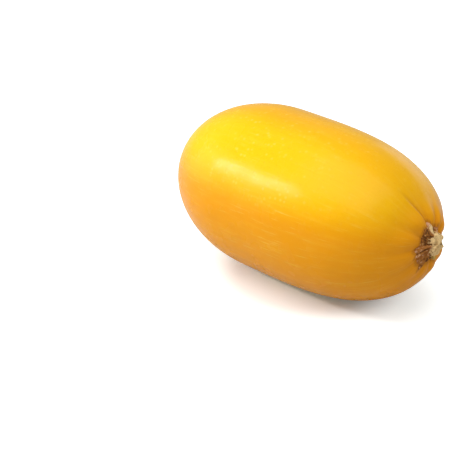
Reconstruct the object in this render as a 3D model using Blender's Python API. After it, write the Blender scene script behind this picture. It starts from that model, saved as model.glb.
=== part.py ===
"""A whole spaghetti squash lying on its side, with the dried stub of its stem at +X. Metres, +Z up."""

import math

import bmesh
import bpy

# The fruit's own sizes
LENGTH = 0.2480  # blossom end to stem end, along X
RADIUS = 0.0666  # at the fattest place
FATTEST = -0.24  # where that is: -1 at the blossom end, 1 at the stem end
STEM_FULLNESS = 3.53  # how square the stem half's shoulder is: 2 would be an ellipse
BLOSSOM_FULLNESS = 2.06
FLAT_DEPTH = 0.0008  # how far the ripe rind has pressed flat where it lies
CENTRE_X = 0.0042  # with the stub, the middle of the whole lies this far past the fruit's own middle

# Relief round the stem
LOBES = 10
LOBE_TURN = 0.19  # the first furrow's angle, from straight up towards -Y
FURROW_DEPTH = 0.0007
FURROW_REACH = 0.042  # the furrows fade out this far from the stem
FURROW_STARTS = (0.006, 0.018)
RING_HEIGHT = 0.0020  # the ring of bulges round the stem
RING_RADIUS = 0.021
RING_WIDTH = 0.009
DENT_TURN = -1.58  # the far side of the shoulder has a broad dent, at this angle
DENT_HALF_WIDTH = 0.42
DENT_DEPTH = 0.0028
DENT_FROM_STEM = 0.028
DENT_REACH = 0.016
DIMPLE_DEPTH = 0.0030  # the stem sits in a shallow hollow
DIMPLE_RADIUS = 0.015
STEM_RISE = 0.0030  # the stem grows a little above the middle of the end
STEM_SIDE = 0.0005
SHIFT_FROM = 0.88

# Scar of the blossom, at the far end
SCAR_DEPTH = 0.0009
SCAR_RADIUS = 0.0065

# The dried stem
STUB_HEIGHT = 0.0081
STUB_TOP_TALL = 0.0104  # its broken top, from the middle up or down
STUB_TOP_WIDE = 0.0060  # and from the middle sideways
STUB_UNEVEN = 0.32  # the top is this much narrower on the -Y side
STUB_BASE = 0.0120  # of the foot, between two ribs
STUB_FOOT_THICKNESS = 0.0007
STUB_TALLER = 1.18  # the stub is taller than wide
STUB_LEAN = 0.0022  # its top leans up this far
STUB_GAP = 0.0004
# Each rib of the stub: its angle in degrees, from straight up towards -Y, its length past the foot, its height
STUB_RIBS = (
    (3, 0.0052, 0.75),
    (-35, 0.0022, 0.55),
    (-80, 0.0030, 0.45),
    (-150, 0.0036, 0.50),
    (148, 0.0062, 0.45),
    (128, 0.0042, 0.40),
    (109, 0.0044, 0.50),
    (90, 0.0050, 0.60),
    (25, 0.0034, 0.20),
)
RIB_HALF_WIDTH = 9.5  # degrees
BETWEEN_RIBS = 0.40  # the flank's height between two ribs, as a share of the stub's

# How finely the two solids are cut into faces
AROUND = 80
RINGS = 48
STUB_RINGS = 20
RING_CROWDING = 1.25  # draws the fruit's rings together towards the stem

COLLECTION = "spaghetti_squash"


def ease(value, low, high):
    """0 below low, 1 above high, and a smooth rise between them."""
    share = min(max((value - low) / (high - low), 0.0), 1.0)
    return share * share * (3 - 2 * share)


def bell(distance, width):
    return math.exp(-((distance / width) ** 2))


def profile(along):
    """The plain fruit's station on X, radius there and t, which falls from 1 at the stem to -1 at the blossom."""
    t = math.cos(math.pi * along)
    if t > FATTEST:
        taper = ((t - FATTEST) / (1 - FATTEST)) ** STEM_FULLNESS
    else:
        taper = ((FATTEST - t) / (1 + FATTEST)) ** BLOSSOM_FULLNESS
    return LENGTH / 2 * t, RADIUS * math.sqrt(max(0.0, 1 - taper)), t


def outward(along):
    """The plain profile's normal, as its part along X and its part away from the X axis."""
    step = 1e-4
    x_before, r_before, _ = profile(max(0.0, along - step))
    x_after, r_after, _ = profile(min(1.0, along + step))
    run = math.hypot(x_after - x_before, r_after - r_before)
    return (r_after - r_before) / run, (x_before - x_after) / run


def furrow_at(around):
    """1 in the middle of a furrow and 0 on the lobes. The furrows aren't quite evenly spaced."""
    turn = around + 0.10 * math.sin(2 * around + 0.7) + 0.06 * math.sin(3 * around + 2.1)
    return abs(math.cos(0.5 * LOBES * (turn - LOBE_TURN))) ** 3


def rind(along, around, above=0.0):
    """A point of the rind, or one this far above it. around runs from straight up towards -Y."""
    x, r, t = profile(along)
    from_stem = math.hypot(r, LENGTH / 2 * (1 - t))
    from_scar = math.hypot(r, LENGTH / 2 * (1 + t))
    furrow = furrow_at(around)
    uneven = 1 + 0.35 * math.sin(around + 1.0) + 0.25 * math.cos(3 * around + 0.4)
    reach = bell(from_stem, FURROW_REACH) * ease(from_stem, *FURROW_STARTS)
    parting = 0.65 + 0.35 * math.cos(around + 0.6)
    relief = RING_HEIGHT * bell(from_stem - RING_RADIUS, RING_WIDTH) * (1 - parting * furrow)
    dent = bell(around - DENT_TURN, DENT_HALF_WIDTH) * bell(from_stem - DENT_FROM_STEM, DENT_REACH)
    relief -= DENT_DEPTH * dent
    relief -= FURROW_DEPTH * furrow * uneven * reach
    relief -= DIMPLE_DEPTH * bell(from_stem, DIMPLE_RADIUS)
    relief -= SCAR_DEPTH * bell(from_scar, SCAR_RADIUS)
    normal_x, normal_r = outward(along)
    x += normal_x * (relief + above)
    r += normal_r * (relief + above)
    shift = ease(t, SHIFT_FROM, 1.0)
    y = -r * math.sin(around) + STEM_SIDE * shift
    z = r * math.cos(around) + STEM_RISE * shift
    return x, y, z


def along_at(radius):
    """How far along the profile it first reaches this radius, near the stem."""
    low, high = 0.0, 0.25
    for _ in range(40):
        middle = (low + high) / 2
        if profile(middle)[1] < radius:
            low = middle
        else:
            high = middle
    return low


def rib_at(around):
    """The strongest rib here: its length past the foot and its height, each fading to both sides."""
    length, height = 0.0, 0.0
    for degrees, rib_length, rib_height in STUB_RIBS:
        off = math.degrees(around) - degrees
        off = (off + 180) % 360 - 180
        near = bell(off, RIB_HALF_WIDTH)
        length += rib_length * near
        height = max(height, rib_height * near)
    return length, height


def stub_edge(around):
    """How far the foot reaches. It is longer up and down than across."""
    return STUB_BASE * math.hypot(STUB_TALLER * math.cos(around), math.sin(around)) + rib_at(around)[0]


def top_edge(around):
    """How far the broken top reaches, more so on the +Y side."""
    plain = math.hypot(STUB_TOP_TALL * math.cos(around), STUB_TOP_WIDE * math.sin(around))
    return plain * (1 - STUB_UNEVEN * math.sin(around))


def stub_thickness(from_middle, around):
    """How high the stub stands above the rind: a broken column, and a flank that slopes down each rib."""
    column = 1 - ease(from_middle, 0.70 * top_edge(around), 1.12 * top_edge(around))
    broken = 1 - 0.10 * math.sin(2 * around + 0.6) - 0.07 * math.cos(5 * around)
    tilt = 0.12 * math.cos(around - 0.4) * from_middle / STUB_TOP_TALL
    column_height = STUB_HEIGHT * column * (broken - tilt)
    slope = max(0.0, 1 - from_middle / stub_edge(around))
    flank = STUB_HEIGHT * (BETWEEN_RIBS + rib_at(around)[1]) * slope
    return STUB_FOOT_THICKNESS + max(column_height, min(flank, STUB_HEIGHT * 0.9))


FLOOR_TO_AXIS = RADIUS - FLAT_DEPTH


def placed(x, y, z):
    """From the fruit's own axis to the part's frame: the floor at 0, and nothing below it."""
    return x - CENTRE_X, y, max(0.0, z + FLOOR_TO_AXIS)


def polar_place(vert):
    """A unit sphere's vertex as its share of the way from +Z to -Z and its angle round Z."""
    share = math.acos(min(1.0, max(-1.0, vert.co.z))) / math.pi
    return share, math.atan2(vert.co.y, vert.co.x)


def new_object(name, mesh_builder, material):
    mesh = bpy.data.meshes.new(name)
    shape = bmesh.new()
    mesh_builder(shape)
    for face in shape.faces:
        face.smooth = True
    shape.to_mesh(mesh)
    shape.free()
    made = bpy.data.objects.new(name, mesh)
    made.data.materials.append(material)
    bpy.data.collections[COLLECTION].objects.link(made)
    return made


def build_body(shape):
    """A sphere whose poles are the stem and the blossom scar, drawn out to the rind."""
    bmesh.ops.create_uvsphere(shape, u_segments=AROUND, v_segments=RINGS, radius=1)
    for vert in shape.verts:
        share, around = polar_place(vert)
        vert.co = placed(*rind(share**RING_CROWDING, around))


def build_stub(shape):
    """A sphere pressed onto the fruit: its lower half follows the rind and its upper half is the stub."""
    bmesh.ops.create_uvsphere(shape, u_segments=AROUND, v_segments=STUB_RINGS, radius=1)
    for vert in shape.verts:
        share, around = polar_place(vert)
        out = 2 * min(share, 1 - share)
        from_middle = out * stub_edge(around)
        x, y, z = rind(along_at(from_middle), around, STUB_GAP)
        if share < 0.499:
            thickness = stub_thickness(from_middle, around)
            x += thickness
            z += STUB_LEAN * thickness / STUB_HEIGHT
        elif share < 0.501:
            x += STUB_FOOT_THICKNESS / 2
        vert.co = placed(x, y, z)


def plain_material(name, colour, roughness):
    material = bpy.data.materials.new(name)
    material.use_nodes = True
    shader = material.node_tree.nodes["Principled BSDF"]
    shader.inputs["Base Color"].default_value = (*colour, 1)
    shader.inputs["Roughness"].default_value = roughness
    shader.inputs["Metallic"].default_value = 0
    return material


for old in list(bpy.data.objects):
    bpy.data.objects.remove(old)

group = bpy.data.collections.new(COLLECTION)
bpy.context.scene.collection.children.link(group)

# The ripe rind is a waxy golden yellow
rind_look = plain_material("squash_rind", (0.955, 0.57, 0.025), 0.36)
new_object("squash_body", build_body, rind_look)

# The stub has dried to pale cork
cork_look = plain_material("dried_stem", (0.46, 0.31, 0.13), 0.88)
new_object("stem_stub", build_stub, cork_look)
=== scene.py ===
# %% [markdown]
# # A spaghetti squash on a pale table
#
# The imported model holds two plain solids: the fruit and the dried stub of its stem. This script keeps their
# places and sizes, and gives them the surface that the real ones have: waxy rind, soft lobes round the stem,
# and a cork-like stub that has torn off its vine. Each step starts with a note on the real thing, on how it
# could be made, and on why it is made this way.

# %% Load the frame
import math

import bmesh
import bpy
import numpy as np
from mathutils import Matrix, Vector, noise


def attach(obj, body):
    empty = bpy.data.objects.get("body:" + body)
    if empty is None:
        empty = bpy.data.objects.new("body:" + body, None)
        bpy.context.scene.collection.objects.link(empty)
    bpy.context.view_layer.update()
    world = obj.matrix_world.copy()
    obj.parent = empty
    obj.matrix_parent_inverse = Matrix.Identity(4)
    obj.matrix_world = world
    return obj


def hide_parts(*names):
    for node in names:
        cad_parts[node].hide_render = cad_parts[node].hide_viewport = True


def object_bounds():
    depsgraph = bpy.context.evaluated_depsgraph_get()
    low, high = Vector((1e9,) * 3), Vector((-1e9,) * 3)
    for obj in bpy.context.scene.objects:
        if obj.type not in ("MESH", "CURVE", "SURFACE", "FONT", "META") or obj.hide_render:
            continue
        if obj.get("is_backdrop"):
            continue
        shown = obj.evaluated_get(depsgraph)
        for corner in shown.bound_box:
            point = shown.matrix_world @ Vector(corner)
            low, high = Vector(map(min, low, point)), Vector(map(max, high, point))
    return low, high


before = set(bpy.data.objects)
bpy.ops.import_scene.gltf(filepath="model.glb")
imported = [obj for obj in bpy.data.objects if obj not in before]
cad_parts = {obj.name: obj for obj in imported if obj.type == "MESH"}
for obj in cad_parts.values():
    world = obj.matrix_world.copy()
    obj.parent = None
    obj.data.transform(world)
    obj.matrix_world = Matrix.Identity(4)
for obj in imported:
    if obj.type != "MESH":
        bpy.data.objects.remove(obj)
CAD_LOW, CAD_HIGH = (Vector(corner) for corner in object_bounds())
print("the frame's box in mm:", [round(1000 * side, 1) for side in CAD_HIGH - CAD_LOW])

# %% [markdown]
# ## The camera
#
# The picture looks along the fruit's near side, from the stem end and from above. A long lens keeps the far
# end from shrinking much. Turning the camera until the fruit is in the middle would change the view, so the
# camera is slid sideways instead. The fruit then stands off the middle of the frame, with no lens shift.

# %% Place the camera
LENGTH = 0.2480
RADIUS = 0.0666
FLAT_DEPTH = 0.0008
FLOOR_TO_AXIS = RADIUS - FLAT_DEPTH
CENTRE_X = 0.0042  # the frame's origin lies this far past the fruit's own middle

PICTURE_SIDE = 474
FRUIT_MIDDLE_PIXEL = (305.6, 199.8)
METRES_PER_PIXEL = 0.00079  # at the fruit's middle
VIEW_TURN = math.radians(45.3)
VIEW_ABOVE = math.radians(26)
LENS_MM = 100
SENSOR_MM = 36

right = Vector((math.cos(VIEW_TURN), math.sin(VIEW_TURN), 0))
back = Vector((
    math.sin(VIEW_TURN) * math.cos(VIEW_ABOVE),
    -math.cos(VIEW_TURN) * math.cos(VIEW_ABOVE),
    math.sin(VIEW_ABOVE),
))
up = back.cross(right)
fruit_middle = Vector((-CENTRE_X, 0, FLOOR_TO_AXIS))
away = LENS_MM / SENSOR_MM * PICTURE_SIDE * METRES_PER_PIXEL
slide_right = (FRUIT_MIDDLE_PIXEL[0] - PICTURE_SIDE / 2) * METRES_PER_PIXEL
slide_up = (PICTURE_SIDE / 2 - FRUIT_MIDDLE_PIXEL[1]) * METRES_PER_PIXEL

camera = bpy.data.objects.new("camera", bpy.data.cameras.new("camera"))
camera.data.lens = LENS_MM
camera.data.sensor_width = SENSOR_MM
camera.matrix_world = Matrix.Translation(
    fruit_middle + back * away - right * slide_right - up * slide_up
) @ Matrix((right, up, back)).transposed().to_4x4()
bpy.context.scene.collection.objects.link(camera)
bpy.context.scene.camera = camera
print("the camera stands", round(away, 3), "m from the fruit's middle")

# %% [markdown]
# ## The light
#
# A white studio lights the fruit from all sides, most of all from above. It draws a pale satin streak along
# the fruit's left shoulder and a thin pale line along its far edge. A sun or a small lamp would give a hard
# spot and a hard shadow. A white world gives the general light instead, and four soft rectangles add the
# rest: a large one overhead, a low one on the left, a narrow one for the streak and one from behind.

# %% Light the studio
STUDIO_WHITE = 0.42
# Each lamp's direction from the fruit, its distance and its size in metres, its watts and its roll
LAMPS = {
    "key_light": ((0.03, -0.29, 0.95), 2.0, (2.2, 2.2), 35.5, 0.0),
    "fill_light": ((-0.82, -0.54, 0.22), 1.6, (1.4, 0.9), 5.2, 0.0),
    "streak_light": ((-0.605, -0.651, 0.457), 1.15, (0.55, 0.11), 5.4, math.radians(27)),
    "back_light": ((0.11, 0.94, 0.20), 1.6, (2.0, 0.7), 4.2, 0.0),
}

world = bpy.data.worlds.new("white_studio")
world.use_nodes = True
world.node_tree.nodes["Background"].inputs["Color"].default_value = (1, 1, 1, 1)
world.node_tree.nodes["Background"].inputs["Strength"].default_value = STUDIO_WHITE
bpy.context.scene.world = world
bpy.context.scene.view_settings.view_transform = "Standard"


def soft_light(name, direction, distance, size, watts, roll):
    """A rectangle of light that looks at the fruit from this direction."""
    lamp = bpy.data.lights.new(name, "AREA")
    lamp.shape = "RECTANGLE"
    lamp.size, lamp.size_y = size
    lamp.energy = watts
    made = bpy.data.objects.new(name, lamp)
    towards = Vector(direction).normalized()
    made.matrix_world = Matrix.Translation(fruit_middle + towards * distance) @ (
        towards.to_track_quat("Z", "Y").to_matrix().to_4x4()
    ) @ Matrix.Rotation(roll, 4, "Z")
    bpy.context.scene.collection.objects.link(made)


for name, settings in LAMPS.items():
    soft_light(name, *settings)
print("the studio has", len(LAMPS), "lamps")

# %% [markdown]
# ## The table
#
# The fruit lies on a white sheet that shows only as a soft shadow close round it. A plain white face under
# these lamps has a shadow that spreads too far, and throws too much light back up. Its material treats the
# two apart: the camera sees it white, with a faint glow that grows away from the fruit, and all other light
# meets a greyer sheet. It is only the stage, so it is a single large face, marked as such.
#
# A material is a graph. A few short helpers come first, so that each material in this script reads as a list
# of what it is made of.

# %% Node helpers
def feed(tree, socket, value):
    """Sets a socket to a value, or links another node's output to it."""
    if isinstance(value, bpy.types.NodeSocket):
        tree.links.new(value, socket)
    else:
        socket.default_value = value


def add(tree, kind, inputs=None, **settings):
    """A new node. An input may be a value or another node's output."""
    made = tree.nodes.new(kind)
    for name, value in settings.items():
        setattr(made, name, value)
    for name, value in (inputs or {}).items():
        feed(tree, made.inputs[name], value)
    return made


def ramp(tree, value, low, high, to_low=0.0, to_high=1.0):
    """The value mapped smoothly from low..high to to_low..to_high."""
    return add(tree, "ShaderNodeMapRange", {
        "Value": value, "From Min": low, "From Max": high, "To Min": to_low, "To Max": to_high,
    }, interpolation_type="SMOOTHSTEP").outputs["Result"]


def reckon(tree, operation, first, second):
    return add(tree, "ShaderNodeMath", {0: first, 1: second}, operation=operation).outputs[0]


def times(tree, first, second):
    return reckon(tree, "MULTIPLY", first, second)


def plus(tree, first, second):
    return reckon(tree, "ADD", first, second)


def new_look(name):
    """A new material, its node tree and its shader."""
    look = bpy.data.materials.new(name)
    look.use_nodes = True
    return look, look.node_tree, look.node_tree.nodes["Principled BSDF"]


# %% Lay the table
TABLE_SIDE = 6.0
TABLE_WHITE = 0.95  # as the camera sees it
TABLE_BOUNCE = 0.64  # as all other light meets it
TABLE_ROUGHNESS = 0.9
TABLE_SPECULAR = 0.1
GLOW_RISES = (0.052, 0.090)  # metres from the middle of the fruit's base
NEAR_GLOW = 0.080
FAR_GLOW = 0.50
GLOW_COLOUR = (0.85, 1.0, 1.03, 1)  # keeps the fruit's orange out of its shadow

table_shape = bmesh.new()
bmesh.ops.create_grid(table_shape, x_segments=1, y_segments=1, size=TABLE_SIDE / 2)
table_mesh = bpy.data.meshes.new("table")
table_shape.to_mesh(table_mesh)
table_shape.free()
table = bpy.data.objects.new("table", table_mesh)
bpy.context.scene.collection.objects.link(table)

table_look, tree, shader = new_look("white_sheet")
camera_ray = add(tree, "ShaderNodeLightPath").outputs["Is Camera Ray"]
table_place = add(tree, "ShaderNodeTexCoord").outputs["Object"]
distance = add(tree, "ShaderNodeVectorMath", {0: table_place}, operation="LENGTH").outputs["Value"]
glow = times(tree, camera_ray, ramp(tree, distance, *GLOW_RISES, NEAR_GLOW, FAR_GLOW))
feed(tree, shader.inputs["Base Color"], ramp(tree, camera_ray, 0.0, 1.0, TABLE_BOUNCE, TABLE_WHITE))
feed(tree, shader.inputs["Emission Color"], GLOW_COLOUR)
feed(tree, shader.inputs["Emission Strength"], glow)
feed(tree, shader.inputs["Roughness"], TABLE_ROUGHNESS)
feed(tree, shader.inputs["Specular IOR Level"], TABLE_SPECULAR)
table.data.materials.append(table_look)
table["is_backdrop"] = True
print("the table is", TABLE_SIDE, "m wide")

# %% [markdown]
# ## The plain form of the fruit
#
# A ripe spaghetti squash is an oblong: rounder at the blossom end, squarer at the shoulder by the stem. It
# could be sculpted, or spun from a curve drawn by hand. Two halves of a super-ellipse that meet at the
# fattest place say the same with five sizes, and they are the sizes of the solid in the frame.

# %% The profile of the fruit
FATTEST = -0.24  # -1 at the blossom end, 1 at the stem end
STEM_FULLNESS = 3.53  # how square the stem half's shoulder is: 2 would be an ellipse
BLOSSOM_FULLNESS = 2.06
SLOPE_STEP = 1e-4


def ease(value, low, high):
    """0 below low, 1 above high, and a smooth rise between them."""
    share = np.clip((value - low) / (high - low), 0, 1)
    return share * share * (3 - 2 * share)


def bell(distance, width):
    return np.exp(-((distance / width) ** 2))


def profile(along):
    """Station on X, radius and t, for a share of the way from the stem to the blossom end."""
    t = np.cos(np.pi * along)
    by_stem = t > FATTEST
    taper = np.where(by_stem, (t - FATTEST) / (1 - FATTEST), (FATTEST - t) / (1 + FATTEST))
    fullness = np.where(by_stem, STEM_FULLNESS, BLOSSOM_FULLNESS)
    radius = RADIUS * np.sqrt(np.clip(1 - np.clip(taper, 0, 1) ** fullness, 0, None))
    return LENGTH / 2 * t, radius, t


def outward(along):
    """The profile's normal, as its part along X and its part away from the axis."""
    x_before, r_before, _ = profile(np.clip(along - SLOPE_STEP, 0, 1))
    x_after, r_after, _ = profile(np.clip(along + SLOPE_STEP, 0, 1))
    run = np.hypot(x_after - x_before, r_after - r_before)
    return (r_after - r_before) / run, (x_before - x_after) / run


def from_ends(radius, t):
    """How far a point of the profile is from the stem and from the blossom's scar."""
    return np.hypot(radius, LENGTH / 2 * (1 - t)), np.hypot(radius, LENGTH / 2 * (1 + t))


print("radius at mid-length in mm:", round(1000 * float(profile(np.array(0.5))[1]), 1))

# %% [markdown]
# ## Lobes, furrows and creases
#
# Where the fruit swelled round its stem, ten soft lobes stand in a ring, with furrows between them that die
# out over the shoulder. One furrow is pinched into a sharp crease, and the far side of the shoulder has a
# broad dent. Loop cuts and a sculpt brush could do this. A height above the plain form, written as a sum of
# bells and waves, keeps every lobe where the frame has it and lets the fine creases be added on top.

# %% The relief of the rind
LOBES = 10
LOBE_TURN = 0.19
FURROW_DEPTH = 0.0007
FURROW_REACH = 0.042
FURROW_STARTS = (0.006, 0.018)
RING_HEIGHT, RING_RADIUS, RING_WIDTH = 0.0020, 0.021, 0.009
DENT_TURN, DENT_HALF_WIDTH, DENT_DEPTH = -1.58, 0.42, 0.0028
DENT_FROM_STEM, DENT_REACH = 0.028, 0.016
DIMPLE_DEPTH, DIMPLE_RADIUS = 0.0030, 0.015
SCAR_DEPTH, SCAR_RADIUS = 0.0009, 0.0065


def lobe_turn(around):
    """The angle round the stem, drawn in and out a little so that the lobes differ in width."""
    return around + 0.10 * np.sin(2 * around + 0.7) + 0.06 * np.sin(3 * around + 2.1)


def furrow_at(around, sharpness=3):
    return np.abs(np.cos(0.5 * LOBES * (lobe_turn(around) - LOBE_TURN))) ** sharpness


def main_relief(around, from_stem, from_scar):
    """What the solid in the frame has too."""
    furrow = furrow_at(around)
    uneven = 1 + 0.35 * np.sin(around + 1.0) + 0.25 * np.cos(3 * around + 0.4)
    reach = bell(from_stem, FURROW_REACH) * ease(from_stem, *FURROW_STARTS)
    parting = 0.65 + 0.35 * np.cos(around + 0.6)
    height = RING_HEIGHT * bell(from_stem - RING_RADIUS, RING_WIDTH) * (1 - parting * furrow)
    dent = bell(around - DENT_TURN, DENT_HALF_WIDTH) * bell(from_stem - DENT_FROM_STEM, DENT_REACH)
    height -= DENT_DEPTH * dent
    height -= FURROW_DEPTH * furrow * uneven * reach
    height -= DIMPLE_DEPTH * bell(from_stem, DIMPLE_RADIUS)
    return height - SCAR_DEPTH * bell(from_scar, SCAR_RADIUS)


ring_relief = main_relief(np.linspace(0, 2 * np.pi, 360), RING_RADIUS, LENGTH)
print("round the stem the relief varies by", round(1000 * float(np.ptp(ring_relief)), 1), "mm")

# %% The finer creases
CREASE_TURN = 0.14
CREASE_BEND = 0.10 / 0.03  # radians for each metre from the stem
CREASE_STRAIGHT = 0.02  # the bend is counted from here
CREASE_DEPTH, CREASE_WIDTH = 0.0008, 0.036
CREASE_STARTS, CREASE_FADES = (0.010, 0.016), (0.032, 0.055)
RIDGE_HEIGHT = 0.45 * CREASE_DEPTH
RIDGE_ASIDE = 2.3  # in widths of the crease
LINE_DEPTH, LINE_SHARPNESS = 0.00006, 24
LINE_STARTS, LINE_REACH = (0.010, 0.018), 0.030
FLUTES, FLUTE_DEPTH, FLUTE_REACH = 31, 0.00003, 0.035
SCAR_RING_GAP, SCAR_RING_DEPTH = 0.0011, 0.00006


def angle_off(around, middle):
    return (around - middle + np.pi) % (2 * np.pi) - np.pi


def crease_at(around, from_stem, aside=0.0):
    """1 along the bottom of the crease, or along a line this many of its widths aside of it."""
    bend = CREASE_BEND * (from_stem - CREASE_STRAIGHT)
    off = angle_off(around, CREASE_TURN + bend) - aside * CREASE_WIDTH
    return bell(off, CREASE_WIDTH) * ease(from_stem, *CREASE_STARTS) * (1 - ease(from_stem, *CREASE_FADES))


def fine_relief(around, from_stem, from_scar):
    """The pinched crease with its ridge, fine lines in every furrow, faint flutes and the scar's rings."""
    height = RIDGE_HEIGHT * crease_at(around, from_stem, RIDGE_ASIDE)
    height -= CREASE_DEPTH * crease_at(around, from_stem)
    lines = furrow_at(around, LINE_SHARPNESS) * ease(from_stem, *LINE_STARTS) * bell(from_stem, LINE_REACH)
    height -= LINE_DEPTH * lines
    flutes = 0.5 + 0.5 * np.sin(FLUTES * around + 1.5 * np.sin(3 * around))
    height -= FLUTE_DEPTH * flutes * (1 + 2 * bell(from_stem, FLUTE_REACH))
    rings = 1.2 + np.cos(2 * np.pi * from_scar / SCAR_RING_GAP)
    return height - SCAR_RING_DEPTH * rings * bell(from_scar, 2 * SCAR_RADIUS)


print("over the bulges the crease is", round(2 * 1000 * CREASE_WIDTH * RING_RADIUS, 1), "mm wide")

# %% A point of the rind
STEM_RISE = 0.0030  # the stem grows a little above the middle of the end
STEM_SIDE = 0.0005
SHIFT_FROM = 0.88


def rind(along, around, above=0.0):
    """Points of the rind, or points this far above it, as an array of positions in the frame."""
    x, radius, t = profile(along)
    from_stem, from_scar = from_ends(radius, t)
    height = main_relief(around, from_stem, from_scar) + above + fine_relief(around, from_stem, from_scar)
    normal_x, normal_r = outward(along)
    radius = radius + normal_r * height
    shift = ease(t, SHIFT_FROM, 1.0)
    return np.stack([
        x + normal_x * height - CENTRE_X,
        -radius * np.sin(around) + STEM_SIDE * shift,
        np.maximum(radius * np.cos(around) + STEM_RISE * shift + FLOOR_TO_AXIS, 0),
    ], axis=-1)


print("the top at mid-length in mm:", round(1000 * float(rind(np.array(0.5), np.array(0.0))[2]), 1))

# %% [markdown]
# ## The skin of the fruit
#
# A sphere has the same skin as the fruit: closed, with two poles. Its poles become the stem and the blossom
# scar, and its rings crowd towards the stem, where the finest relief is. The mesh also carries what the
# material reads: a place on an unrolled tube that follows the fruit's growth, and masks for the painted shade
# in the furrows and for the stain and painted shade round the stem.

# %% Draw a sphere out to the rind
SKIN_AROUND = 400
SKIN_RINGS = 236
RING_CROWDING = 1.25


def unit_sphere(name, around, rings):
    """A new object holding a unit sphere, with each vertex's share from pole to pole and angle."""
    shape = bmesh.new()
    bmesh.ops.create_uvsphere(shape, u_segments=around, v_segments=rings, radius=1)
    for face in shape.faces:
        face.smooth = True
    mesh = bpy.data.meshes.new(name)
    shape.to_mesh(mesh)
    shape.free()
    made = bpy.data.objects.new(name, mesh)
    bpy.context.scene.collection.objects.link(made)
    place = np.empty(3 * len(mesh.vertices))
    mesh.vertices.foreach_get("co", place)
    x, y, z = place.reshape(-1, 3).T
    return made, np.arccos(np.clip(z, -1, 1)) / np.pi, np.arctan2(y, x)


def move_vertices(made, places):
    made.data.vertices.foreach_set("co", np.ascontiguousarray(places).ravel())
    made.data.update()


skin, share, around = unit_sphere("squash_skin", SKIN_AROUND, SKIN_RINGS)
along = share**RING_CROWDING
move_vertices(skin, rind(along, around))
print("the skin has", len(skin.data.polygons), "faces")

# %% Keep what the rind's material reads
TUBE_RADIUS = 0.06
TUBE_LENGTH = 0.25
FURROW_SHADE, TINT_SHARPNESS = 0.3, 12
TINT_STARTS, TINT_REACH = (0.012, 0.020), 0.030


def keep_values(made, name, values):
    """Stores one number or one vector a vertex, for the material to read."""
    kind, field = ("FLOAT_VECTOR", "vector") if values.ndim == 2 else ("FLOAT", "value")
    attribute = made.data.attributes.new(name, kind, "POINT")
    attribute.data.foreach_set(field, np.ascontiguousarray(values).ravel())


_, tube_radius, t = profile(along)
from_stem, from_scar = from_ends(tube_radius, t)
tube_place = [TUBE_RADIUS * np.cos(around), TUBE_RADIUS * np.sin(around), TUBE_LENGTH * along]
keep_values(skin, "tube_place", np.stack(tube_place, axis=-1))
keep_values(skin, "from_scar", from_scar)
# Painted shade: a mask that darkens the furrows by the stem and the pinched crease to tan.
furrows = furrow_at(around, TINT_SHARPNESS) * bell(from_stem, TINT_REACH) * ease(from_stem, *TINT_STARTS)
keep_values(skin, "crease", np.maximum(FURROW_SHADE * furrows, crease_at(around, from_stem)))
print("of the skin's", len(furrows), "vertices,", int((furrows > 0.5).sum()), "lie in a furrow")

# %% [markdown]
# ## The dried stub of the stem
#
# The vine's stem dries to cork and snaps, and leaves a low ragged column on a foot that grips the rind with
# ribs of many lengths. Between the ribs are dark hollows. It could be carved out of a cylinder with booleans.
# Pressing a second sphere onto the fruit gives one closed skin: its lower half follows the rind, sunk in a
# little, and its upper half is the stub, so foot, ribs and broken top flow into each other as they grew.

# %% The ribs and the foot of the stub
STUB_HEIGHT = 0.0081
STUB_TOP_TALL = 0.0104  # the broken top, from the middle up or down
STUB_TOP_WIDE = 0.0060  # and from the middle sideways
STUB_UNEVEN = 0.32
STUB_BASE = 0.0120
STUB_FOOT_THICKNESS = 0.0007
STUB_TALLER = 1.18
STUB_LEAN = 0.0022
# Each rib's angle in degrees, from straight up towards -Y, its length past the foot and its height
STUB_RIBS = (
    (3, 0.0052, 0.75),
    (-35, 0.0022, 0.55),
    (-80, 0.0030, 0.45),
    (-150, 0.0036, 0.50),
    (148, 0.0062, 0.45),
    (128, 0.0042, 0.40),
    (109, 0.0044, 0.50),
    (90, 0.0050, 0.60),
    (25, 0.0034, 0.20),
)
RIB_HALF_WIDTH = 9.5  # degrees
BETWEEN_RIBS = 0.40


def ribs_at(around):
    """How far the foot reaches out along the nearest rib, and that rib's height."""
    length, height = 0.0, 0.0
    for degrees, rib_length, rib_height in STUB_RIBS:
        near = bell((np.degrees(around) - degrees + 180) % 360 - 180, RIB_HALF_WIDTH)
        length = length + rib_length * near
        height = np.maximum(height, rib_height * near)
    return length, height


def stub_edge(around):
    return STUB_BASE * np.hypot(STUB_TALLER * np.cos(around), np.sin(around)) + ribs_at(around)[0]


def top_edge(around):
    plain = np.hypot(STUB_TOP_TALL * np.cos(around), STUB_TOP_WIDE * np.sin(around))
    return plain * (1 - STUB_UNEVEN * np.sin(around))


print("the foot has", len(STUB_RIBS), "ribs")

# %% The stain and painted shade round the foot
STAIN_AND_SHADE_REACH = 0.0030
# Painted shade: the rind deepens to orange close round the stub.
STEM_SHADE_REACH = 0.030  # the rind deepens to orange this far from the stub
FAR_FROM_STEM = 1.0

past_foot = np.where(t > 0, tube_radius - stub_edge(around), FAR_FROM_STEM)
# A tan stain and painted shade, darkest at the foot's edge.
keep_values(skin, "stain_and_shade", ease(past_foot, STAIN_AND_SHADE_REACH, 0.0))
keep_values(skin, "near_stem_shade", ease(past_foot, STEM_SHADE_REACH, 0.0))
print(int((past_foot < STAIN_AND_SHADE_REACH).sum()), "of the skin's vertices lie under the foot or its stain")

# %% Roughness by noise
NOISE_FALL = 0.9
NOISE_STEP = 2.1


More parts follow.
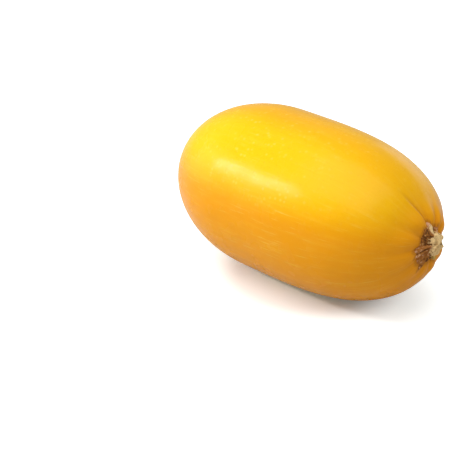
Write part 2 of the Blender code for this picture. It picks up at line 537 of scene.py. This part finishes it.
def rough(x, y, z, scale, octaves):
    """Fractal noise of about -1 to 1 at these points, with features 1 / scale metres apart."""
    return np.array([
        noise.fractal(Vector(point), NOISE_FALL, NOISE_STEP, octaves)
        for point in zip(x * scale, y * scale, z * scale)
    ])


# %% Press a sphere onto the fruit
STUB_AROUND = 560
STUB_RINGS = 150
SUNK = 0.0006
EDGE_RAGGED = 0.0012
RAGGED_SCALE = 2.2
ALONG_STEPS = np.linspace(0, 0.25, 2000)

stub, share, around = unit_sphere("stem_stub_cork", STUB_AROUND, STUB_RINGS)
out = 2 * np.minimum(share, 1 - share)
ragged = rough(np.cos(around), np.sin(around), 0 * around, RAGGED_SCALE, 3)
edge = stub_edge(around) + EDGE_RAGGED * ragged
from_middle = out * edge
foot = rind(np.interp(from_middle, profile(ALONG_STEPS)[1], ALONG_STEPS), around, -SUNK)
print("the foot reaches", round(1000 * float(edge.max()), 1), "mm from the middle of the stem")

# %% The broken column and its buttresses
FIBRE_SCALE, FIBRE_LENGTH, FIBRE_WIDTH = 420, 0.10, 0.036
LUMP_SCALE = 260
FLAKE_TURN, FLAKE_HALF_WIDTH, FLAKE_LENGTH = -119, 12, 0.0013
COLUMN_FALLS = (0.74, 1.06)  # in shares of the column's edge
RAGGED_SHARE, FIBRE_SHARE = 0.12, 0.06  # how much of the edge comes and goes
RIB_WANDER = 0.05
FLANK_LIMIT = 0.9
RISE_WITHIN = (1.0, 0.90)

turn = np.degrees(around)
fibre = rough(
    from_middle * FIBRE_LENGTH, np.cos(around) * FIBRE_WIDTH, np.sin(around) * FIBRE_WIDTH, FIBRE_SCALE, 3,
)
lumps = rough(*foot.T, LUMP_SCALE, 4)
flake = FLAKE_LENGTH * bell(turn - FLAKE_TURN, FLAKE_HALF_WIDTH)
column_edge = top_edge(around) * (1 + RAGGED_SHARE * ragged + FIBRE_SHARE * fibre) + flake
column = 1 - ease(from_middle, COLUMN_FALLS[0] * column_edge, COLUMN_FALLS[1] * column_edge)
broken = 1 - 0.10 * np.sin(2 * around + 0.6) - 0.07 * np.cos(5 * around)
tilt = 0.12 * np.cos(around - 0.4) * from_middle / STUB_TOP_TALL
column_height = STUB_HEIGHT * column * (broken - tilt)
rib_height = ribs_at(around + RIB_WANDER * lumps)[1]
slope = np.clip(1 - from_middle / edge, 0, 1)
flank = np.minimum(STUB_HEIGHT * (BETWEEN_RIBS + rib_height) * slope, STUB_HEIGHT * FLANK_LIMIT)
rise = ease(out, *RISE_WITHIN)
print("the column's edge is up to", round(1000 * float(column_edge.max()), 1), "mm from its middle")

# %% [markdown]
# The torn top is rough wood: fibres that stand up in little cliffs. The noise that makes them only takes
# material away, so the stub keeps inside the frame's box.

# %% Roughen it and put it in place
TOP_ROUGHNESS = 0.0016
FIBRE_DEPTH = 0.0005
INSIDE_BOX = 0.0001

upper = share < 0.5
height = np.maximum(column_height, flank) + (STUB_FOOT_THICKNESS + SUNK) * rise
height -= TOP_ROUGHNESS * column * (0.5 + 0.5 * lumps) ** 2
height -= FIBRE_DEPTH * (0.5 + 0.5 * fibre) * rise
height = np.where(upper, np.maximum(height, 0), 0)
places = foot.copy()
places[:, 0] = np.minimum(places[:, 0] + height, CAD_HIGH.x - INSIDE_BOX)
places[:, 2] += STUB_LEAN * height / STUB_HEIGHT
move_vertices(stub, places)
print("the stub stands", round(1000 * float(height.max()), 1), "mm high")

# %% Keep what the cork's material reads
# The middle and the half width, in degrees, of the ribs that dried green and of the pale arm
GREEN_RIBS = ((-80, 16), (-150, 14))
PALE_ARM = (-2, 11)
GREEN_FROM = (0.006, 0.010)
ARM_FADES = (0.0190, 0.0140)
ARM_PALENESS = 0.9

green = np.maximum(*(bell(turn - middle, width) for middle, width in GREEN_RIBS))
pale_arm = bell(turn - PALE_ARM[0], PALE_ARM[1]) * ease(from_middle, *ARM_FADES)
keep_values(stub, "stub_rib", rib_height)
keep_values(stub, "stub_fibre", fibre)
keep_values(stub, "stub_green", green * ease(from_middle, *GREEN_FROM))
keep_values(stub, "stub_top", np.where(upper, np.maximum(column, ARM_PALENESS * pale_arm), 0))
print("the stub has", len(stub.data.polygons), "faces")

# %% [markdown]
# ## Streaks and flecks
#
# Rind grew along the fruit, so it shows streaks that run that way: long broad ones, fine ones, and loose rows
# that its flecks keep to. Small spots are on both pieces: pale flecks on the rind and dark pits in the cork.
# Painting them on an image would fix their size and place. A node group for each effect makes them out of
# noise, and is used again with other numbers.

# %% A group for streaks
STREAK_DETAIL = {"Scale": 1.0, "Detail": 4.0, "Roughness": 0.6}


def new_group(name, inputs, output):
    """A new node group with one number as its output."""
    group = bpy.data.node_groups.new(name, "ShaderNodeTree")
    for label, kind in inputs.items():
        group.interface.new_socket(name=label, in_out="INPUT", socket_type=kind)
    group.interface.new_socket(name=output, in_out="OUTPUT", socket_type="NodeSocketFloat")
    return group, group.nodes.new("NodeGroupInput").outputs, group.nodes.new("NodeGroupOutput").inputs[output]


streaks, given, result = new_group("growth_streaks", {
    "Place": "NodeSocketVector", "Across": "NodeSocketFloat", "Along": "NodeSocketFloat",
}, "Streak")
stretch = add(streaks, "ShaderNodeCombineXYZ", {
    "X": given["Across"], "Y": given["Across"], "Z": given["Along"],
}).outputs[0]
stretched = add(streaks, "ShaderNodeVectorMath", {0: given["Place"], 1: stretch}, operation="MULTIPLY")
streak = add(streaks, "ShaderNodeTexNoise", {"Vector": stretched.outputs[0], **STREAK_DETAIL})
feed(streaks, result, streak.outputs["Fac"])
print("the group for streaks has", len(streaks.nodes), "nodes")

# %% A group for flecks
flecks, given, result = new_group("flecks", {
    "Place": "NodeSocketVector", "Scale": "NodeSocketFloat",
    "Size": "NodeSocketFloat", "Share": "NodeSocketFloat",
}, "Fleck")
cells = add(flecks, "ShaderNodeTexVoronoi", {
    "Vector": given["Place"], "Scale": given["Scale"], "Randomness": 1.0,
}, feature="F1").outputs
inside = ramp(flecks, cells["Distance"], given["Size"], 0.0)
chance = add(flecks, "ShaderNodeSeparateColor", {"Color": cells["Color"]}).outputs["Red"]
kept = reckon(flecks, "LESS_THAN", chance, given["Share"])
feed(flecks, result, times(flecks, inside, kept))


def use_group(tree, group, place, numbers):
    """The output of a group at these places, with these numbers as its other inputs."""
    return add(tree, "ShaderNodeGroup", {"Place": place, **numbers}, node_tree=group).outputs[0]


print("the group for flecks has", len(flecks.nodes), "nodes")

# %% [markdown]
# ## The waxy rind
#
# Ripe rind is golden yellow. Here it is lemon at the blossom end and deepens to amber towards the stem end,
# partly the fruit's own drift and partly painted shade. Painted shade also turns the far side and the
# underside amber, and deepens the rind to orange round the stem. Faint streaks run along it and pale flecks
# sit in loose
# rows. The finish is satin: a thin natural wax. One colour with noise over it would look like plastic, so the
# colour is built in layers, from the large drift down to the flecks.

# %% More node helpers
def blend(tree, amount, first, second):
    """Two colours mixed by an amount of 0 to 1."""
    return add(tree, "ShaderNodeMix", {0: amount, 6: first, 7: second}, data_type="RGBA").outputs[2]


def kept_value(tree, name, output="Fac"):
    """What keep_values stored under this name."""
    return add(tree, "ShaderNodeAttribute", attribute_name=name).outputs[output]


def object_place(tree):
    return add(tree, "ShaderNodeTexCoord").outputs["Object"]


def cloudy(tree, place, scale, detail):
    """Noise of 0 to 1."""
    inputs = {"Vector": place, "Scale": scale, "Detail": detail}
    return add(tree, "ShaderNodeTexNoise", inputs).outputs["Fac"]


# %% The rind's colour
LEMON = (0.89, 0.51, 0.005, 1)
GOLD = (0.86, 0.495, 0.003, 1)
AMBER = (0.75, 0.265, 0.002, 1)
CLOUD_SCALE = 16.0
CLOUD_SHIFT = 0.05  # metres
# Each ramp's start and end, in metres, and what it gives there
LEMON_TO_GOLD = (-0.09, 0.06)
AMBER_BY_STEM = (0.03, 0.16, 0.0, 0.24)
FAR_SIDE_SHADE = (-0.032, -0.004)
FAR_SIDE_SHADE_ALONG = (-0.02, 0.07, 0.37, 0.20)
UNDERSIDE_SHADE = (0.105, 0.074, 0.0, 0.80)

rind_look, tree, shader = new_look("squash_rind_waxy")
position = object_place(tree)
axes = add(tree, "ShaderNodeSeparateXYZ", {"Vector": position}).outputs
cloud = cloudy(tree, position, CLOUD_SCALE, 2.0)
# Lemon at the blossom end, deepening to gold and amber towards the stem end: partly the fruit's own drift,
# partly painted shade that darkens the stem end.
drift_and_shade = plus(tree, axes["X"], times(tree, cloud, CLOUD_SHIFT))
colour = blend(tree, ramp(tree, drift_and_shade, *LEMON_TO_GOLD), LEMON, GOLD)
colour = blend(tree, ramp(tree, drift_and_shade, *AMBER_BY_STEM), colour, AMBER)
# Painted shade: amber over the far side, strongest towards the blossom end.
far_side_shade = times(tree, ramp(tree, axes["Y"], *FAR_SIDE_SHADE), ramp(tree, axes["X"], *FAR_SIDE_SHADE_ALONG))
colour = blend(tree, far_side_shade, colour, AMBER)
# Painted shade: amber over the lower half, deepest towards the bottom.
colour = blend(tree, ramp(tree, axes["Z"], *UNDERSIDE_SHADE), colour, AMBER)

# %% Streaks in its colour
PALE_LINE = (0.95, 0.66, 0.07, 1)
PALE_SPOT = (0.98, 0.74, 0.16, 1)
LONG_STREAKS = {"Across": 260.0, "Along": 26.0}
FINE_STREAKS = {"Across": 900.0, "Along": 60.0}
LOW_DOWN = (0.105, 0.070, 0.30, 1.0)  # the fine ones are plainest on the lower half
LONG_PALE = (0.50, 0.75, 0.0, 0.14)
FINE_PALE = (0.57, 0.74, 0.0, 0.45)
FINE_DARK = (0.45, 0.24, 0.0, 0.48)

tube = kept_value(tree, "tube_place", "Vector")
long_streaks = use_group(tree, streaks, tube, LONG_STREAKS)
fine_streaks = use_group(tree, streaks, tube, FINE_STREAKS)
low_down = ramp(tree, axes["Z"], *LOW_DOWN)
colour = blend(tree, ramp(tree, long_streaks, *LONG_PALE), colour, PALE_LINE)
colour = blend(tree, times(tree, ramp(tree, fine_streaks, *FINE_PALE), low_down), colour, PALE_SPOT)
colour = blend(tree, times(tree, ramp(tree, fine_streaks, *FINE_DARK), low_down), colour, AMBER)

# %% Flecks in its colour
ROWS = {"Across": 120.0, "Along": 40.0}
IN_ROWS = (0.36, 0.60)
SPOTS = {"Scale": 230.0, "Size": 0.42, "Share": 0.80}
SPOTS_ALONG = (0.02, 0.09, 0.42, 0.12)  # they fade towards the stem
SPOTS_ABOVE = 1.15
FRECKLES = {"Scale": 420.0, "Size": 0.45, "Share": 0.45}
FRECKLE_AMOUNT = 0.22

rows = use_group(tree, streaks, tube, ROWS)
spots = times(tree, use_group(tree, flecks, position, SPOTS), ramp(tree, rows, *IN_ROWS))
spots = times(tree, spots, reckon(tree, "SUBTRACT", SPOTS_ABOVE, low_down))
spots = times(tree, spots, ramp(tree, axes["X"], *SPOTS_ALONG))
colour = blend(tree, spots, colour, PALE_SPOT)
freckles = use_group(tree, flecks, position, FRECKLES)
colour = blend(tree, times(tree, freckles, FRECKLE_AMOUNT), colour, AMBER)

# %% Painted shade round the stem and in the creases, stain and painted shade at the foot, and scars in its colour
TAN = (0.44, 0.16, 0.015, 1)
GROUND_PALE = (0.92, 0.66, 0.17, 1)
CORK_SPOT = (0.52, 0.33, 0.10, 1)
STEM_SHADE_AMOUNT = 0.45
CREASE_SHADE_AMOUNT = 0.50
STAIN_AND_SHADE_STREAKS = (0.35, 0.62, 0.25, 1.0)
GROUND_HEIGHT = (0.012, 0.0)
GROUND_PATCHES = (0.3, 0.6)
SCAR_UNEVEN = 0.0030
SCAR_BROWN = (0.0105, 0.0050, 0.0, 0.85)
SCAR_MIDDLE = (0.0052, 0.0030, 0.0, 0.8)

near_stem_shade = kept_value(tree, "near_stem_shade")
# Painted shade: orange round the stub.
colour = blend(tree, times(tree, near_stem_shade, STEM_SHADE_AMOUNT), colour, AMBER)
# Painted shade in the furrows and the pinched crease.
colour = blend(tree, times(tree, kept_value(tree, "crease"), CREASE_SHADE_AMOUNT), colour, TAN)
# Tan at the foot's edge: partly a stain, partly painted shade where the foot meets the rind.
stain_and_shade = times(tree, kept_value(tree, "stain_and_shade"), ramp(tree, fine_streaks, *STAIN_AND_SHADE_STREAKS))
colour = blend(tree, stain_and_shade, colour, TAN)
ground = times(tree, ramp(tree, axes["Z"], *GROUND_HEIGHT), ramp(tree, cloud, *GROUND_PATCHES))
colour = blend(tree, ground, colour, GROUND_PALE)
scar = plus(tree, kept_value(tree, "from_scar"), times(tree, fine_streaks, SCAR_UNEVEN))
colour = blend(tree, ramp(tree, scar, *SCAR_BROWN), colour, TAN)
colour = blend(tree, ramp(tree, scar, *SCAR_MIDDLE), colour, CORK_SPOT)
feed(tree, shader.inputs["Base Color"], colour)

# %% The rind's wax and its fine surface
PORE_SCALE, WAVE_SCALE, SWELL_SCALE = 900.0, 60.0, 24.0
SATIN = (0.3, 0.7, 0.22, 0.29)
STAIN_DULLS, STEM_DULLS = 0.35, 0.22
WAX_SPECULAR = 0.12
RELIEF_DEPTH, RELIEF_STRENGTH = 0.0012, 0.35

pores = cloudy(tree, position, PORE_SCALE, 3.0)
waves = cloudy(tree, position, WAVE_SCALE, 2.0)
swells = cloudy(tree, position, SWELL_SCALE, 1.0)
satin = plus(tree, ramp(tree, waves, *SATIN), times(tree, stain_and_shade, STAIN_DULLS))
feed(tree, shader.inputs["Roughness"], plus(tree, satin, times(tree, near_stem_shade, STEM_DULLS)))
feed(tree, shader.inputs["Specular IOR Level"], WAX_SPECULAR)
relief = times(tree, swells, 2.0)
for bumps, share_of_relief in ((waves, 0.80), (pores, 0.05), (long_streaks, 0.15), (fine_streaks, 0.12)):
    relief = plus(tree, relief, times(tree, bumps, share_of_relief))
bump = add(tree, "ShaderNodeBump", {
    "Height": relief, "Strength": RELIEF_STRENGTH, "Distance": RELIEF_DEPTH,
})
feed(tree, shader.inputs["Normal"], bump.outputs["Normal"])
skin.data.materials.append(rind_look)
print("the rind's material has", len(tree.nodes), "nodes")

# %% [markdown]
# ## The dried cork
#
# Torn cork is pale straw on its broken face and on the arm that runs up from it, hay along the ribs, and
# red-brown to nearly black in the hollows between them, where sap dried. Height alone would make every rib
# pale, so the mesh carries masks for ribs, fibres and broken face. The colour follows them, and lumps and
# pits break it up.

# %% The cork's material
STRAW = (0.76, 0.54, 0.25, 1)
GREEN_STRAW = (0.58, 0.45, 0.10, 1)
HAY = (0.67, 0.38, 0.21, 1)
RUST = (0.38, 0.145, 0.03, 1)
SAP = (0.11, 0.042, 0.010, 1)
LUMP_NOISE = (420.0, 5.0)  # its scale and its detail
PITS = {"Scale": 900.0, "Size": 0.5, "Share": 0.4}
MOTTLE_AMOUNT = 2.5
FIBRE_SHADE, RIB_SHADE = 0.5, 1.2
SAP_TO_RUST = (-0.30, 0.35)
RUST_TO_HAY = (0.45, 1.0)
GREEN_AMOUNT = 0.7
FIBRE_ON_FACE = 0.25
STRAW_FROM = (0.30, 0.75)
PIT_AMOUNT = 0.55

cork_look, tree, shader = new_look("dried_cork")
position = object_place(tree)
strand = kept_value(tree, "stub_fibre")
lumpy = cloudy(tree, position, *LUMP_NOISE)
pits = use_group(tree, flecks, position, PITS)
mottle = times(tree, reckon(tree, "SUBTRACT", lumpy, 0.5), MOTTLE_AMOUNT)
ribs = times(tree, kept_value(tree, "stub_rib"), RIB_SHADE)
level = plus(tree, plus(tree, times(tree, strand, FIBRE_SHADE), ribs), mottle)
face = plus(tree, plus(tree, kept_value(tree, "stub_top"), mottle), times(tree, strand, FIBRE_ON_FACE))
colour = blend(tree, ramp(tree, level, *SAP_TO_RUST), SAP, RUST)
colour = blend(tree, ramp(tree, level, *RUST_TO_HAY), colour, HAY)
colour = blend(tree, times(tree, kept_value(tree, "stub_green"), GREEN_AMOUNT), colour, GREEN_STRAW)
colour = blend(tree, ramp(tree, face, *STRAW_FROM), colour, STRAW)
colour = blend(tree, times(tree, pits, PIT_AMOUNT), colour, RUST)
feed(tree, shader.inputs["Base Color"], colour)

# %% The cork's dry, pitted surface
CORK_ROUGHNESS = (0.3, 0.7, 0.78, 0.95)
CORK_SPECULAR = 0.1
PIT_DEPTH = -0.5
GRIT_DEPTH, GRIT_STRENGTH = 0.0008, 0.6

feed(tree, shader.inputs["Roughness"], ramp(tree, lumpy, *CORK_ROUGHNESS))
feed(tree, shader.inputs["Specular IOR Level"], CORK_SPECULAR)
grit = plus(tree, lumpy, times(tree, pits, PIT_DEPTH))
bump = add(tree, "ShaderNodeBump", {"Height": grit, "Strength": GRIT_STRENGTH, "Distance": GRIT_DEPTH})
feed(tree, shader.inputs["Normal"], bump.outputs["Normal"])
stub.data.materials.append(cork_look)
print("the cork's material has", len(tree.nodes), "nodes")

# %% [markdown]
# ## Hand the pieces over
#
# Each finished piece takes the place of its plain solid and rides on the root body.

# %% Replace the solids
for piece, solid, slot in ((skin, "squash_body", "squash_rind"), (stub, "stem_stub", "dried_stem")):
    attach(piece, "root")
    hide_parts(solid)

print("the frame's box in mm:", [round(1000 * side, 2) for side in (*CAD_LOW, *CAD_HIGH)])
